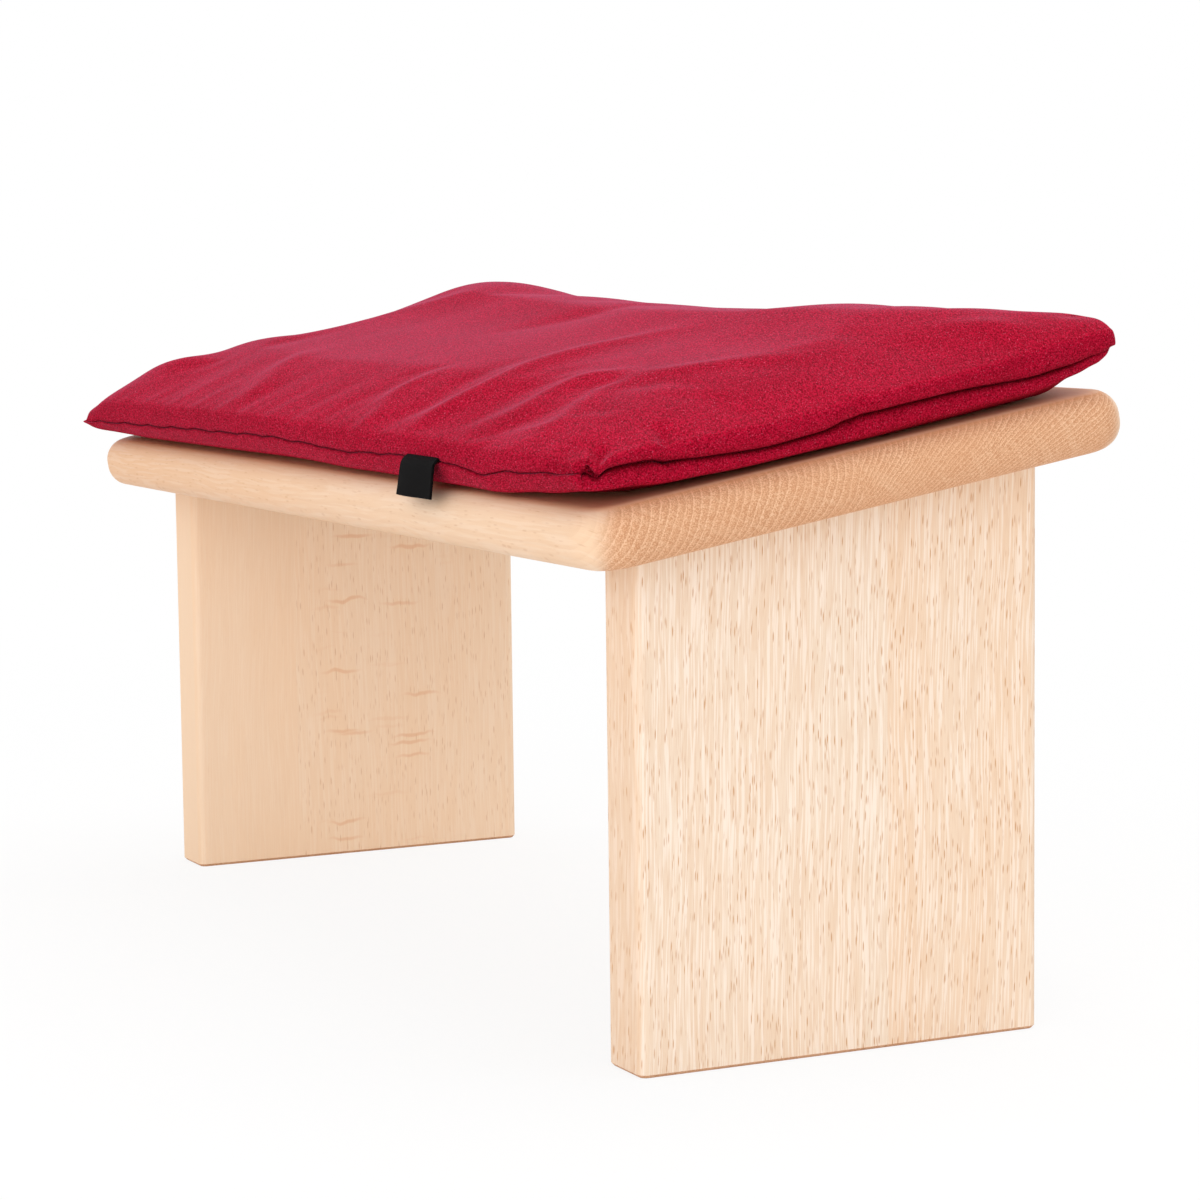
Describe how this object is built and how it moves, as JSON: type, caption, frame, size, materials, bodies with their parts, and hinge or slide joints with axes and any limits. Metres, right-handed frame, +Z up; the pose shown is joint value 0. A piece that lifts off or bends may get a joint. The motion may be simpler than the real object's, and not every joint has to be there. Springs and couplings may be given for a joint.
{
  "type": "folding meditation bench",
  "caption": "Low kneeling bench: a sloping wooden seat board on two board legs that fold in under it on butt hinges, with a loose stuffed cushion on top.",
  "frame": {"origin": "on the floor, under the middle of the bench", "axes": "+X along the seat to the sitter's right as seen from the front, +Y to the high rear edge of the seat, +Z up"},
  "size_m": [0.45, 0.1848, 0.2236],
  "materials": {
    "beech": "oiled, satin",
    "hinge_steel": "zinc plated",
    "screw_steel": "zinc plated",
    "cushion_cloth": "brushed fleece, matte",
    "filling": "soft, matte",
    "label_cloth": "woven, matte"
  },
  "bodies": {
    "seat": {"seat_front_stave": "beech", "seat_rear_stave": "beech", "left_front_hinge_seat_leaf": "hinge_steel", "left_rear_hinge_seat_leaf": "hinge_steel", "right_front_hinge_seat_leaf": "hinge_steel", "right_rear_hinge_seat_leaf": "hinge_steel", "left_front_hinge_pin": "hinge_steel", "left_rear_hinge_pin": "hinge_steel", "right_front_hinge_pin": "hinge_steel", "right_rear_hinge_pin": "hinge_steel", "left_seat_screws": "screw_steel", "right_seat_screws": "screw_steel"},
    "left_leg": {"left_leg_front_stave": "beech", "left_leg_rear_stave": "beech", "left_front_hinge_leg_leaf": "hinge_steel", "left_rear_hinge_leg_leaf": "hinge_steel", "left_leg_screws": "screw_steel"},
    "right_leg": {"right_leg_front_stave": "beech", "right_leg_rear_stave": "beech", "right_front_hinge_leg_leaf": "hinge_steel", "right_rear_hinge_leg_leaf": "hinge_steel", "right_leg_screws": "screw_steel"},
    "cushion": {"cushion_cover_top": "cushion_cloth", "cushion_cover_bottom": "cushion_cloth", "cushion_filling": "filling", "cushion_label": "label_cloth"}
  },
  "joints": [
    {"name": "left_leg_fold", "type": "hinge", "parent": "seat", "child": "left_leg", "pos_m": [-0.1793, 0.00197, 0.16087], "axis": [0, -0.9857, -0.1685], "range_deg": [0, 90]},
    {"name": "right_leg_fold", "type": "hinge", "parent": "seat", "child": "right_leg", "pos_m": [0.1793, 0.00197, 0.16087], "axis": [0, 0.9857, 0.1685], "range_deg": [0, 90]},
    {"name": "cushion_lift", "type": "slide", "parent": "seat", "child": "cushion", "axis": [0, -0.1685, 0.9857], "range_m": [0, 0.1]}
  ]
}
